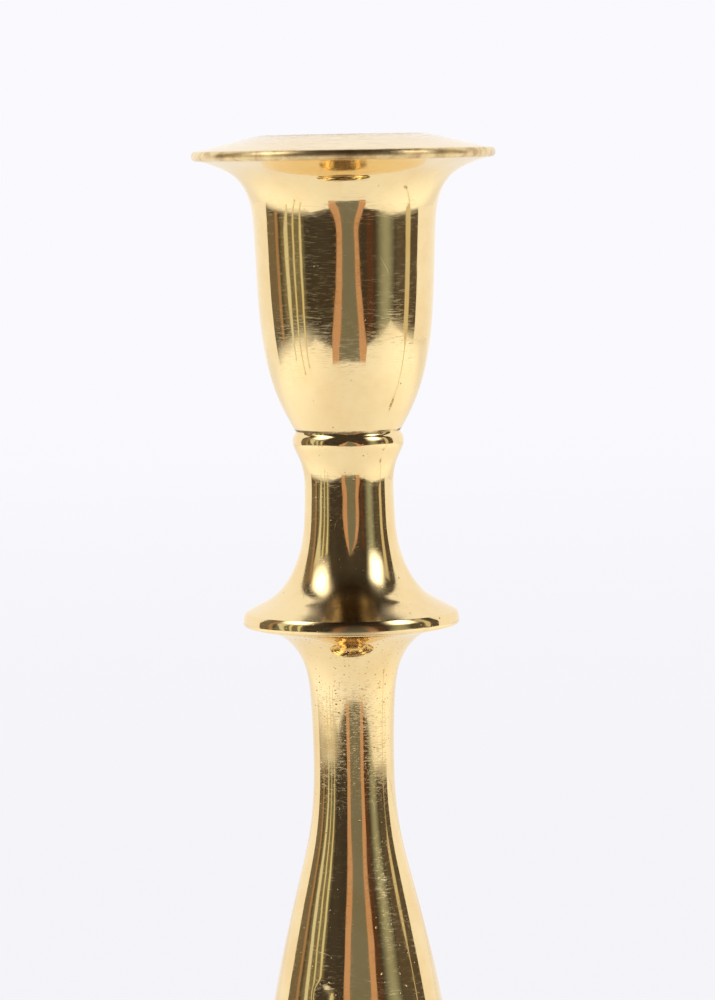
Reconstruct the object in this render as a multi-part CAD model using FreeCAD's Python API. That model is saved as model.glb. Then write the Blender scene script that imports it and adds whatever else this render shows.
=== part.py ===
import FreeCAD, Part
import math
import os

# Cast-brass push-up candlestick, in millimetres. Origin: centre of the ring on which the foot stands,
# +Z up. Everything is turned about Z except the hexagonal nut. From the table up the body is a hollow
# foot, a pear-shaped stem, a neck with a drip disc, and a tulip-shaped candle socket. A plate at the
# bottom of the socket sits on a rod that runs down through the stem to a button under the foot:
# pushing the button up lifts a candle stub out of the socket.

# ---- Driving dimensions ---------------------------------------------------------------------------

# Candle socket
bore_radius = 11.25          # takes a 22 mm candle
bore_depth = 34.0
bore_corner = 2.5            # fillet at the bottom of the bore
floor_ledge = 2.55           # ledge at the bottom of the bore, round the plate's recess
mouth_chamfer = 0.6
mouth_land = 2.05            # flat ring round the mouth
cup_wall = 3.25              # at the widest part of the cup
rim_radius = 24.2            # drip flange
rim_edge = 1.6               # thickness of the flange's rounded edge
rim_fall = 2.4               # the flange slopes down this much from the mouth to its edge
web = 2.4                    # metal between plate recess and stud hole

# Neck and drip disc
neck_length = 31.3
collar_radius = 8.93
collar_height = 5.2          # from the joint down to where the collar has run into the neck
groove = 0.38                # depth of the groove between cup and collar
neck_radius = 7.18           # at the waist
disc_radius = 17.35
disc_edge = 2.15             # thickness of the disc's rounded edge
disc_edge_top_inset = 0.4    # the rounded edge starts this far inside the disc's radius
disc_edge_low_inset = 0.6    # and ends this far inside it
stud_radius = 5.0            # threaded stud up into the socket
stud_length = 8.2
spigot_radius = 4.0          # threaded spigot down into the stem
spigot_length = 10.0
thread_gap = 0.05            # between the plain cylinders that stand for mating threads
end_gap = 0.2                # between the end of a stud and the bottom of its hole

# Pear-shaped stem
stem_length = 111.2
stem_flare_inset = 1.45      # the flare under the disc stops this far inside the disc's edge
stem_flare_lip = 0.3         # thickness of the flare's edge
stem_waist = 6.5
stem_belly = 16.1
stem_ankle = 8.9             # below the pear
stem_wall = 3.0
stem_ring_height = 3.6       # ring that the stem stands on
stem_ring_bulge = 1.0
cavity_floor = 11.5          # solid metal below the cored cavity, above the foot
cavity_corner = 2.0
tail_radius = 6.0            # threaded tail through the foot
tail_end = 0.9               # tail that stands out of the nut

# Foot. Its height follows from the travel of the ejector inside it.
foot_radius = 56.0
foot_wall = 3.0
foot_seat_margin = 1.6       # the foot's top is this much wider than the stem's ring
foot_bead_bulge = 0.8
foot_bead = 2.2              # height of the small bead at the top of the foot
boss_thickness = 4.5         # metal under the stem's ring
step_height = 1.8            # between the hollow moulding and the rounded one
step_width = 1.4
dome_height = 7.8            # rounded moulding
dome_width = 13.4
plinth_height = 7.4
plinth_flat = 5.4            # flat ledge between the rounded moulding and the plinth's edge
plinth_bulge = 3.8           # the plinth's rounded edge
tread = 2.8                  # width of the ring that the foot stands on

# Fastening under the foot
washer_width = 3.2           # metal round the tail
washer_room = 1.2            # between the washer and the foot's inside
washer_thickness = 1.2
nut_wall = 1.5               # between the tail and the nut's flats
nut_height = 4.2
nut_chamfer = 0.8

# Push-up ejector
ejector_travel = 20.0
travel_room = 0.7            # air left above the button at the top of its travel
rod_radius = 1.6
rod_clearance = 0.35         # round the rod where the stem and the socket guide it
passage_clearance = 0.7      # round the rod in the wider passage through the neck
plate_thickness = 1.6
plate_clearance = 0.3
plate_lift = 0.2             # air under the plate when it is down
plate_sunk = 0.4             # the plate's top lies this far below the bottom of the bore
plate_chamfer = 0.4
button_radius = 8.0
button_thickness = 3.4
button_bulge = 1.4           # the button's rounded edge
button_skin = 1.0            # metal under the end of the rod
button_level = 4.6           # height of the button above the table

# ---- Places worked out from them ------------------------------------------------------------------

recess_depth = plate_lift + plate_thickness + plate_sunk
socket_height = bore_depth + recess_depth + web + end_gap + stud_length

boss_and_fastening = boss_thickness + washer_thickness + nut_height + tail_end
foot_height = button_level + button_thickness + ejector_travel + travel_room + boss_and_fastening

stem_seat = foot_height
neck_seat = stem_seat + stem_length
socket_seat = neck_seat + neck_length
mouth_level = socket_seat + socket_height

stud_hole_top = socket_seat + stud_length + end_gap
recess_floor = stud_hole_top + web
bore_floor = recess_floor + recess_depth
plate_bottom = recess_floor + plate_lift
plate_top = plate_bottom + plate_thickness
rod_bottom = button_level + button_skin

cup_radius = bore_radius + cup_wall
recess_radius = bore_radius - floor_ledge
plate_radius = recess_radius - plate_clearance
groove_radius = collar_radius - groove
stem_flare = disc_radius - stem_flare_inset
guide_radius = rod_radius + rod_clearance
passage_radius = rod_radius + passage_clearance

boss_underside = foot_height - boss_thickness
washer_underside = boss_underside - washer_thickness
nut_underside = washer_underside - nut_height
tail_bottom = nut_underside - tail_end
tail_hole = tail_radius + thread_gap
washer_radius = tail_radius + washer_width
nut_across_flats = 2 * (tail_radius + nut_wall)
foot_top_radius = washer_radius + washer_room + foot_wall
stem_ring = foot_top_radius - foot_seat_margin
edge_start = foot_radius - plinth_bulge
dome_radius = edge_start - plinth_flat
dome_start = dome_radius - dome_width
dome_top = plinth_height + dome_height
scotia_radius = dome_start - step_width
scotia_level = dome_top + step_height

# ---- Drawing helpers ------------------------------------------------------------------------------


def between(low, high, share):
    """The value a given share of the way from low to high."""
    return low + (high - low) * share


class Outline:
    """One closed half-section in the XZ plane, drawn edge by edge as (radius, height) points."""

    def __init__(self, radius, height):
        self.first = FreeCAD.Vector(radius, 0, height)
        self.last = self.first
        self.edges = []

    def line(self, radius, height):
        end = FreeCAD.Vector(radius, 0, height)
        if end.distanceToPoint(self.last) > 1e-6:
            self.edges.append(Part.LineSegment(self.last, end).toShape())
            self.last = end

    def arc(self, middle, end):
        middle = FreeCAD.Vector(middle[0], 0, middle[1])
        end = FreeCAD.Vector(end[0], 0, end[1])
        self.edges.append(Part.Arc(self.last, middle, end).toShape())
        self.last = end

    def flow(self, points):
        """A smooth curve from the last point through all the given points."""
        places = [self.last] + [FreeCAD.Vector(r, 0, z) for r, z in points]
        curve = Part.BSplineCurve()
        curve.interpolate(places)
        self.edges.append(curve.toShape())
        self.last = places[-1]

    def turned(self):
        self.line(self.first.x, self.first.z)
        face = Part.Face(Part.Wire(self.edges))
        return face.revolve(FreeCAD.Vector(0, 0, 0), FreeCAD.Vector(0, 0, 1), 360)


def inset(points, wall):
    """Moves a curve's points inwards by the wall, square to the curve. The points run downwards."""
    moved = []
    for i, (radius, height) in enumerate(points):
        before = points[max(i - 1, 0)]
        after = points[min(i + 1, len(points) - 1)]
        run = after[0] - before[0]
        fall = before[1] - after[1]
        length = math.hypot(run, fall)
        moved.append((radius - wall * fall / length, height - wall * run / length))
    return moved


def save(node, shape):
    shape.exportStep(os.path.join("parts", node + ".step"))
    print(node, "valid" if shape.isValid() else "INVALID", round(shape.Volume, 1))


# ---- Outlines that two pieces or two faces share --------------------------------------------------


def stem_outline_points():
    """The outside of the stem from under the disc's flare down to the ankle above the ring."""
    flare = [(0.67, 0.9), (0.35, 2.9), (0.133, 6.2), (0.03, 11.7)]
    points = [(between(stem_waist, stem_flare, share), neck_seat - drop) for share, drop in flare]
    waist_level = stem_seat + stem_length * 0.823
    belly_level = stem_seat + stem_length * 0.243
    points.append((stem_waist, waist_level))
    pear = [(0.013, 0.116), (0.101, 0.225), (0.294, 0.347), (0.492, 0.468), (0.669, 0.589),
            (0.839, 0.729), (0.960, 0.868)]
    for share, down in pear:
        points.append((between(stem_waist, stem_belly, share), between(waist_level, belly_level, down)))
    points.append((stem_belly, belly_level))
    ankle_level = stem_seat + stem_ring_height
    for share, down in [(0.97, 0.21), (0.85, 0.43), (0.57, 0.65), (0.25, 0.82), (0.06, 0.93)]:
        points.append((between(stem_ankle, stem_belly, share), between(belly_level, ankle_level, down)))
    points.append((stem_ankle, ankle_level))
    return points


def scotia_points():
    """The hollow moulding of the foot, a quarter of an ellipse from under its top bead out to the step."""
    turns = [math.radians(15 * i) for i in range(1, 7)]
    return [(between(scotia_radius, foot_top_radius, math.cos(turn)),
             between(foot_height - foot_bead, scotia_level, math.sin(turn))) for turn in turns]


def dome_points():
    """The rounded moulding of the foot, a quarter of an ellipse from the step out to the plinth."""
    turns = [math.radians(22.5 * i) for i in range(5)]
    return [(between(dome_start, dome_radius, math.sin(turn)),
             between(plinth_height, dome_top, math.cos(turn))) for turn in turns]


# ---- Pieces ---------------------------------------------------------------------------------------


def candle_socket():
    edge_top = mouth_level - rim_fall
    edge_bottom = edge_top - rim_edge
    rim_start = rim_radius - rim_edge / 2
    shape = Outline(bore_radius + mouth_chamfer, mouth_level)
    shape.line(bore_radius + mouth_land, mouth_level)
    shape.line(rim_start, edge_top)
    shape.arc((rim_radius, edge_top - rim_edge / 2), (rim_start, edge_bottom))
    flare = [(0.63, 0.896), (0.284, 0.857), (0.062, 0.777), (0.0, 0.674)]
    cup = [(0.953, 0.532), (0.874, 0.370), (0.723, 0.234), (0.487, 0.128), (0.227, 0.053), (0.0, 0.0)]
    points = [(between(cup_radius, rim_radius, share), socket_seat + socket_height * up)
              for share, up in flare]
    points += [(between(groove_radius, cup_radius, share), socket_seat + socket_height * up)
               for share, up in cup]
    shape.flow(points)
    shape.line(stud_radius + thread_gap, socket_seat)
    shape.line(stud_radius + thread_gap, stud_hole_top)
    shape.line(guide_radius, stud_hole_top)
    shape.line(guide_radius, recess_floor)
    shape.line(recess_radius, recess_floor)
    shape.line(recess_radius, bore_floor)
    corner = min(bore_corner, floor_ledge)
    shape.line(bore_radius - corner, bore_floor)
    bend = corner * math.sqrt(0.5)
    shape.arc((bore_radius - corner + bend, bore_floor + corner - bend), (bore_radius, bore_floor + corner))
    shape.line(bore_radius, mouth_level - mouth_chamfer)
    return shape.turned()


def neck_and_drip_disc():
    shape = Outline(groove_radius, socket_seat)
    collar = [(between(neck_radius, collar_radius, share), socket_seat - collar_height * down)
              for share, down in [(1.0, 0.25), (0.73, 0.625), (0.28, 1.0)]]
    neck = [(0.0, 0.636), (0.022, 0.498), (0.110, 0.355), (0.272, 0.240), (0.513, 0.150), (0.789, 0.099)]
    points = collar + [(between(neck_radius, disc_radius, share), neck_seat + neck_length * up)
                       for share, up in neck]
    points.append((disc_radius - disc_edge_top_inset, neck_seat + disc_edge))
    shape.flow(points)
    shape.arc((disc_radius, neck_seat + disc_edge / 2), (disc_radius - disc_edge_low_inset, neck_seat))
    shape.line(spigot_radius, neck_seat)
    shape.line(spigot_radius, neck_seat - spigot_length)
    shape.line(passage_radius, neck_seat - spigot_length)
    shape.line(passage_radius, socket_seat + stud_length)
    shape.line(stud_radius, socket_seat + stud_length)
    shape.line(stud_radius, socket_seat)
    return shape.turned()


def baluster_stem():
    outside = stem_outline_points()
    cavity = inset(outside[4:], stem_wall)
    cavity = [point for point in cavity if point[1] > stem_seat + cavity_floor + cavity_corner]
    shape = Outline(spigot_radius + thread_gap, neck_seat)
    shape.line(stem_flare, neck_seat)
    shape.line(stem_flare, neck_seat - stem_flare_lip)
    shape.flow(outside)
    ankle_level = outside[-1][1]
    shape.line(stem_ring - stem_ring_bulge, ankle_level)
    shape.arc((stem_ring, stem_seat + stem_ring_height / 2), (stem_ring - stem_ring_bulge, stem_seat))
    shape.line(tail_radius, stem_seat)
    shape.line(tail_radius, tail_bottom)
    shape.line(guide_radius, tail_bottom)
    shape.line(guide_radius, stem_seat + cavity_floor)
    shape.line(cavity[-1][0] - cavity_corner, stem_seat + cavity_floor)
    shape.flow(list(reversed(cavity)))
    spigot_bottom = neck_seat - spigot_length - end_gap
    shape.line(cavity[0][0], spigot_bottom)
    shape.line(spigot_radius + thread_gap, spigot_bottom)
    return shape.turned()


def foot():
    shape = Outline(tail_hole, foot_height)
    shape.line(foot_top_radius, foot_height)
    shape.arc((foot_top_radius + foot_bead_bulge, foot_height - foot_bead / 2),
              (foot_top_radius, foot_height - foot_bead))
    shape.flow(scotia_points())
    shape.line(scotia_radius, dome_top)
    shape.line(dome_start, dome_top)
    shape.flow(dome_points()[1:])
    shape.line(edge_start, plinth_height)
    shape.arc((foot_radius, plinth_height / 2), (edge_start, 0))
    shape.line(edge_start - tread, 0)

    under_dome = inset(dome_points(), foot_wall)
    under_scotia = [point for point in inset(scotia_points(), foot_wall) if point[1] < boss_underside - 1]
    shape.line(edge_start - tread, plinth_height - foot_wall)
    shape.line(under_dome[-1][0], plinth_height - foot_wall)
    shape.line(under_dome[-1][0], under_dome[-1][1])
    shape.flow(list(reversed(under_dome[:-1])))
    shape.line(under_scotia[-1][0], under_scotia[-1][1])
    shape.flow(list(reversed(under_scotia[:-1])))
    shape.line(under_scotia[0][0], boss_underside)
    shape.line(tail_hole, boss_underside)
    return shape.turned()


def foot_washer():
    shape = Outline(tail_hole, boss_underside)
    shape.line(washer_radius, boss_underside)
    shape.line(washer_radius, washer_underside)
    shape.line(tail_hole, washer_underside)
    return shape.turned()


def stem_nut():
    corner = nut_across_flats / math.sqrt(3)
    points = []
    for i in range(7):
        turn = math.radians(60 * i)
        points.append(FreeCAD.Vector(corner * math.cos(turn), corner * math.sin(turn), nut_underside))
    prism = Part.Face(Part.makePolygon(points)).extrude(FreeCAD.Vector(0, 0, nut_height))
    lens = Outline(0, nut_underside)
    lens.line(corner - nut_chamfer, nut_underside)
    lens.line(corner, nut_underside + nut_chamfer / 2)
    lens.line(corner, washer_underside)
    lens.line(0, washer_underside)
    hole = Part.makeCylinder(tail_hole, nut_height, FreeCAD.Vector(0, 0, nut_underside))
    return prism.common(lens.turned()).cut(hole)


def ejector_plate():
    shape = Outline(rod_radius, plate_bottom)
    shape.line(plate_radius, plate_bottom)
    shape.line(plate_radius, plate_top - plate_chamfer)
    shape.line(plate_radius - plate_chamfer, plate_top)
    shape.line(rod_radius, plate_top)
    return shape.turned()


def ejector_rod():
    return Part.makeCylinder(rod_radius, plate_top - rod_bottom, FreeCAD.Vector(0, 0, rod_bottom))


def ejector_button():
    bottom = button_level
    top = button_level + button_thickness
    shape = Outline(0, bottom)
    shape.line(button_radius - button_bulge, bottom)
    shape.arc((button_radius, between(bottom, top, 0.5)), (button_radius - button_bulge, top))
    shape.line(rod_radius, top)
    shape.line(rod_radius, rod_bottom)
    shape.line(0, rod_bottom)
    return shape.turned()


# ---- Writing --------------------------------------------------------------------------------------

os.makedirs("parts", exist_ok=True)
for piece in (candle_socket, neck_and_drip_disc, baluster_stem, foot, foot_washer, stem_nut,
              ejector_plate, ejector_rod, ejector_button):
    save(piece.__name__, piece())
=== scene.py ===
import math

import bmesh
import bpy
import numpy as np
from mathutils import Matrix, Vector, noise


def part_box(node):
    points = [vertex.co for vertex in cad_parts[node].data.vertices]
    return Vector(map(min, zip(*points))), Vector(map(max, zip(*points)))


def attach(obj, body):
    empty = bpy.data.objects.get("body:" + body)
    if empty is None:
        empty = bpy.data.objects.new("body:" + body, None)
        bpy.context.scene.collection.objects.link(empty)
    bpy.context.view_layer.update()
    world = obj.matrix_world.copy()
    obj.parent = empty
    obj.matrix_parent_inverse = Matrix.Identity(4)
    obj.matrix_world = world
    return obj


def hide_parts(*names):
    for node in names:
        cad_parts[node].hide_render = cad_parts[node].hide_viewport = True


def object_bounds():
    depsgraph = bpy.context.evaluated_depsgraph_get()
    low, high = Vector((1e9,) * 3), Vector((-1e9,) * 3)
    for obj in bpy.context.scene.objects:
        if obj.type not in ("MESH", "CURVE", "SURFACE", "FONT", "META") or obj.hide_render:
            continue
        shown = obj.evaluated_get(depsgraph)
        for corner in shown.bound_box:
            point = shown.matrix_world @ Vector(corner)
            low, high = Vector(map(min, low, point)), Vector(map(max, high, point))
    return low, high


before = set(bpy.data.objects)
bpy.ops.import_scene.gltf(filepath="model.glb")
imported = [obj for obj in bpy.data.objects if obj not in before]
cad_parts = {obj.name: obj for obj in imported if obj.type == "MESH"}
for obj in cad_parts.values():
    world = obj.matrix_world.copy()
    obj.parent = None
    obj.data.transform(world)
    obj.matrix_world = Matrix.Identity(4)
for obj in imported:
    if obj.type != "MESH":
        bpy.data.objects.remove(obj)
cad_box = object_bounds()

# Camera. It stands level with the candlestick's mouth, a little over two thirds of a metre in front of
# it, with a long lens, and looks slightly down at the upper two thirds of the stick.

aim_below_mouth = 0.0584
camera_distance = 0.690
camera_pitch = math.radians(4.772)
camera_roll = math.radians(-1.01)
camera_aside = 0.00131
lens_length = 155.25
sensor_height = 36
sees_as_far_as = 200

mouth_level = cad_box[1].z
camera_data = bpy.data.cameras.new("camera")
camera_data.sensor_fit = "VERTICAL"
camera_data.sensor_height = sensor_height
camera_data.lens = lens_length
camera_data.clip_end = sees_as_far_as
camera = bpy.data.objects.new("camera", camera_data)
bpy.context.collection.objects.link(camera)
back = Vector((0, -math.cos(camera_pitch), math.sin(camera_pitch)))
aim = Vector((camera_aside, 0, mouth_level - aim_below_mouth))
turn = Matrix.Rotation(math.pi / 2 - camera_pitch, 4, "X") @ Matrix.Rotation(camera_roll, 4, "Z")
camera.matrix_world = Matrix.Translation(aim + back * camera_distance) @ turn
bpy.context.scene.camera = camera
bpy.context.scene.view_settings.view_transform = "Standard"

# Room. The lens sees a pale sweep all round, and matt things are lit by even white light. What the
# polished metal mirrors is a dim room, and the studio cards below.

sweep_colour = (0.956, 0.947, 0.991, 1)
daylight_colour = (1.0, 1.0, 1.0, 1)
room_dark = (0.038, 0.032, 0.028, 1)
room_light = (0.072, 0.062, 0.054, 1)


def node(tree, kind, inputs=None, **settings):
    """Adds a node. An input is given a value, or is linked if it is given another node's socket."""
    made = tree.nodes.new(kind)
    for key, value in settings.items():
        setattr(made, key, value)
    for key, value in (inputs or {}).items():
        if isinstance(value, bpy.types.NodeSocket):
            tree.links.new(value, made.inputs[key])
        else:
            made.inputs[key].default_value = value
    return made


def clouds(tree, place, scale, detail, **more):
    """Soft uneven shades between 0 and 1, smaller with more scale and rougher with more detail."""
    inputs = {"Vector": place, "Scale": scale, "Detail": detail, **more}
    return node(tree, "ShaderNodeTexNoise", inputs).outputs["Fac"]


def blend_colour(tree, mask, under, over):
    """The colour under where the mask is 0, and the colour over where it is 1."""
    return node(tree, "ShaderNodeMix", {0: mask, 6: under, 7: over}, data_type="RGBA").outputs[2]


world = bpy.data.worlds.new("studio")
bpy.context.scene.world = world
world.use_nodes = True
world.cycles.sampling_method = "NONE"
tree = world.node_tree
tree.nodes.clear()
direction = node(tree, "ShaderNodeTexCoord").outputs["Generated"]
shades = blend_colour(tree, clouds(tree, direction, 2.3, 3.0), room_dark, room_light)
path = node(tree, "ShaderNodeLightPath").outputs
lit = blend_colour(tree, path["Is Diffuse Ray"], shades, daylight_colour)
seen = blend_colour(tree, path["Is Camera Ray"], lit, sweep_colour)
glow = node(tree, "ShaderNodeBackground", {"Color": seen})
node(tree, "ShaderNodeOutputWorld", {"Surface": glow.outputs[0]})

# Floor: a wide pale sheet of matt paper that the lens sees and that takes the soft shadow of the foot.
# It fades out far away, and from below it can't be seen.

floor_half_width = 12.0
floor_fades_from, floor_fades_to = 0.5, 3.0
paper_colour = (0.913, 0.905, 0.947, 1)


def maths(tree, operation, *values, clamp=False):
    """What a Math node makes of the values."""
    return node(tree, "ShaderNodeMath", dict(enumerate(values)), operation=operation,
                use_clamp=clamp).outputs[0]


def scaled(tree, value, low, high, to_low=0.0, to_high=1.0, curve="LINEAR"):
    """The value, stretched so that low becomes to_low and high becomes to_high, and held between them."""
    inputs = {"Value": value, "From Min": low, "From Max": high, "To Min": to_low, "To Max": to_high}
    return node(tree, "ShaderNodeMapRange", inputs, interpolation_type=curve).outputs[0]


def object_place(tree):
    return node(tree, "ShaderNodeTexCoord").outputs["Object"]


bm = bmesh.new()
bmesh.ops.create_grid(bm, x_segments=1, y_segments=1, size=floor_half_width)
floor_mesh = bpy.data.meshes.new("floor")
bm.to_mesh(floor_mesh)
bm.free()
floor = bpy.data.objects.new("floor", floor_mesh)
bpy.context.collection.objects.link(floor)
paper = bpy.data.materials.new("pale_paper")
paper.use_nodes = True
tree = paper.node_tree
tree.nodes.clear()
matt = node(tree, "ShaderNodeBsdfDiffuse", {"Color": paper_colour})
clear = node(tree, "ShaderNodeBsdfTransparent")
far = node(tree, "ShaderNodeVectorMath", {0: object_place(tree)}, operation="LENGTH").outputs["Value"]
fade = scaled(tree, far, floor_fades_from, floor_fades_to, curve="SMOOTHERSTEP")
below = node(tree, "ShaderNodeNewGeometry").outputs["Backfacing"]
fade = maths(tree, "MAXIMUM", fade, below)
faded = node(tree, "ShaderNodeMixShader", {0: fade, 1: matt.outputs[0], 2: clear.outputs[0]})
node(tree, "ShaderNodeOutputMaterial", {"Surface": faded.outputs[0]})
floor_mesh.materials.append(paper)
floor.visible_glossy = False

# Studio cards: the things round the stick that its polished metal mirrors. Each is a sheet that glows in
# one colour and may fade out towards its edges. Only reflections show them, and the lens never does.

def fading(share, soft):
    """1 in the middle of a card and 0 at its edge, with a smooth change over the soft margin."""
    if soft <= 0:
        return 1.0
    inward = min(1.0, min(share, 1 - share) / soft)
    return inward * inward * (3 - 2 * inward)


def studio_card(name, place, colour, strength=1.0, soft=(0, 0), cells=(12, 12)):
    """A card whose point (u, v) is at place(u, v). soft is the share of its width and of its height that
    fades at each edge, and cells are its squares across and up."""
    bm = bmesh.new()
    bmesh.ops.create_grid(bm, x_segments=cells[0], y_segments=cells[1], size=0.5)
    glow_layer = bm.verts.layers.float.new("glow")
    for vert in bm.verts:
        u, v = vert.co.x + 0.5, vert.co.y + 0.5
        vert[glow_layer] = fading(u, soft[0]) * fading(v, soft[1])
        vert.co = place(u, v)
    mesh = bpy.data.meshes.new(name)
    bm.to_mesh(mesh)
    bm.free()
    card = bpy.data.objects.new(name, mesh)
    bpy.context.collection.objects.link(card)
    glow_material = bpy.data.materials.new(name)
    glow_material.use_nodes = True
    tree = glow_material.node_tree
    tree.nodes.clear()
    amount = node(tree, "ShaderNodeAttribute", attribute_name="glow")
    light = node(tree, "ShaderNodeEmission", {"Color": (*colour, 1), "Strength": strength})
    clear = node(tree, "ShaderNodeBsdfTransparent")
    mixed = node(tree, "ShaderNodeMixShader", {0: amount.outputs["Fac"], 1: clear.outputs[0],
                                               2: light.outputs[0]})
    node(tree, "ShaderNodeOutputMaterial", {"Surface": mixed.outputs[0]})
    mesh.materials.append(glow_material)
    card.visible_camera = False
    card.visible_diffuse = False
    card.visible_shadow = False
    card.visible_transmission = False


def between(low, high, share):
    return low + (high - low) * share


def from_stick(azimuth, height, distance):
    """A point of the room, its azimuth in degrees to the right of the camera as the stick sees it."""
    turned = math.radians(azimuth)
    return Vector((distance * math.sin(turned), -distance * math.cos(turned), height))


def upright(azimuths, heights, distance):
    """Places a card upright on a circle round the stick, between two azimuths and two heights."""
    return lambda u, v: from_stick(between(*azimuths, u), between(*heights, v), distance)


def column(rows):
    """Places an upright card by rows of height, distance, left azimuth and right azimuth."""
    def place(u, v):
        step = v * (len(rows) - 1)
        low = min(int(step), len(rows) - 2)
        height, distance, left, right = (between(a, b, step - low)
                                         for a, b in zip(rows[low], rows[low + 1]))
        return from_stick(between(left, right, u), height, distance)
    return place


def quad(a, b, c, d):
    """Places a card on four corners: near left, near right, far right, far left."""
    a, b, c, d = Vector(a), Vector(b), Vector(c), Vector(d)
    return lambda u, v: a.lerp(b, u).lerp(d.lerp(c, u), v)


def lying(x, y, width, length):
    """Places a card flat on the table, a little above it, with its middle at (x, y)."""
    return lambda u, v: Vector((x + width * (u - 0.5), y + length * (v - 0.5), lying_level))


# The white table that the stick stands on, brighter near the lamps on both sides, and the white paper
# round its back and sides.
table_level = -0.002
lying_level = 0.002
paper_top = 2.0
paper_white = (1.0, 0.99, 0.99)
table_strength = 0.93
brighter_strength = 1.22
table_corners = [(-0.50, -0.54), (0.92, -0.50), (0.92, 1.25), (-0.80, 1.25)]
studio_card("white_table", quad(*[(x, y, table_level) for x, y in table_corners]), paper_white,
            table_strength)
for name, left, right, near, away, colour in [
        ("table_brighter_left", -1.05, -0.02, -0.7, 0.6, (1.0, 1.0, 1.0)),
        ("table_brighter_right", 0.02, 1.2, -0.6, 0.7, (1.0, 1.0, 0.97))]:
    studio_card(name, quad((left, near, 0), (right, near, 0), (right, away, 0), (left, away, 0)), colour,
                brighter_strength, soft=(0.45, 0.4))
for name, start, end in [("paper_left", (-0.62, 0.27), (-0.80, 1.25)),
                         ("paper_back", (-0.81, 1.25), (0.93, 1.25)),
                         ("paper_right", (0.92, 1.25), (0.92, 0.26))]:
    studio_card(name, quad((*start, 0), (*end, 0), (*end, paper_top), (*start, paper_top)), paper_white)

# Two large soft lamps, at the left and the right and a little in front.
lamp_right_white = (1.0, 0.99, 0.95)
lamp_left_white = (1.0, 0.99, 0.96)
studio_card("lamp_right", upright((38, 86), (0.48, 1.70), 1.15), lamp_right_white, strength=3.8,
            soft=(0.5, 0.25))
studio_card("lamp_left", upright((-100, -46), (0.55, 3.4), 1.2), lamp_left_white, strength=4.2,
            soft=(0.45, 0.30))

# Dim things at the left: a brown wall with a post, a curtain, and lamp stands with their feet.
wall_brown = (0.19, 0.16, 0.12)
post_brown = (0.40, 0.26, 0.155)
curtain_grey = (0.20, 0.185, 0.13)
stand_foot_brown = (0.55, 0.44, 0.20)
studio_card("wall_left", upright((-116, -90), (0.0, 0.9), 0.90), wall_brown, soft=(0.1, 0.1))
studio_card("post_left", upright((-98.5, -91.5), (0.0, 0.8), 0.85), post_brown, soft=(0.3, 0.0))
studio_card("curtain_left", upright((-91, -50), (0.0, 0.50), 0.80), curtain_grey, soft=(0.15, 0.15))
for name, colour, side, rows in [
        ("stand_broad", (0.74, 0.73, 0.58), 0.2,
         [(0.0, 0.55, -77.4, -75.8), (0.08, 0.55, -79.0, -74.6), (0.16, 0.55, -82.4, -74.6),
          (0.22, 0.55, -84.0, -75.6), (0.30, 0.55, -88.0, -73.0), (0.42, 0.55, -92.0, -70.0)]),
        ("stand_middle", (0.70, 0.66, 0.44), 0.25,
         [(0.0, 0.41, -66.0, -64.4), (0.10, 0.42, -68.0, -65.4), (0.34, 0.44, -71.5, -65.0)]),
        ("stand_near", (0.72, 0.68, 0.46), 0.25,
         [(0.0, 0.43, -57.5, -55.9), (0.10, 0.44, -58.4, -55.6), (0.34, 0.46, -61.0, -53.0)])]:
    studio_card(name, column(rows), colour, soft=(side, 0.0), cells=(8, 24))
for name, x, y in [("foot_broad", -0.537, -0.118), ("foot_middle", -0.358, -0.160),
                   ("foot_near", -0.360, -0.236)]:
    studio_card(name, lying(x, y, 0.030, 0.022), stand_foot_brown, soft=(0.2, 0.2))

# Things at the right: a dark box, a pale door, a dim wall, and a post on a thin leg with a small foot.
box_brown = (0.100, 0.050, 0.032)
door_grey = (0.33, 0.355, 0.29)
wall_dim = (0.105, 0.088, 0.070)
post_pale = (0.68, 0.60, 0.42)
post_foot_dark = (0.30, 0.21, 0.06)
post_foot_bright = (0.95, 0.88, 0.55)
studio_card("box_right", upright((25, 39), (-0.3, 0.7), 1.5), box_brown, soft=(0.3, 0.1))
studio_card("door_right", upright((37, 70), (-0.3, 1.2), 1.6), door_grey, soft=(0.48, 0.0))
studio_card("wall_right", upright((66, 110), (-0.3, 0.8), 1.5), wall_dim, soft=(0.1, 0.1))
studio_card("post_right", column([(0.0, 0.254, 90.0, 91.2), (0.13, 0.254, 87.2, 88.9),
                                  (0.15, 0.254, 81.6, 90.6), (0.36, 0.254, 80.4, 90.8)]),
            post_pale, soft=(0.15, 0.0), cells=(8, 36))
studio_card("post_foot_shade", lying(0.256, 0.004, 0.050, 0.024), post_foot_dark, soft=(0.15, 0.15))
studio_card("post_foot", lying(0.250, 0.004, 0.022, 0.012), post_foot_bright, soft=(0.3, 0.3))

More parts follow.
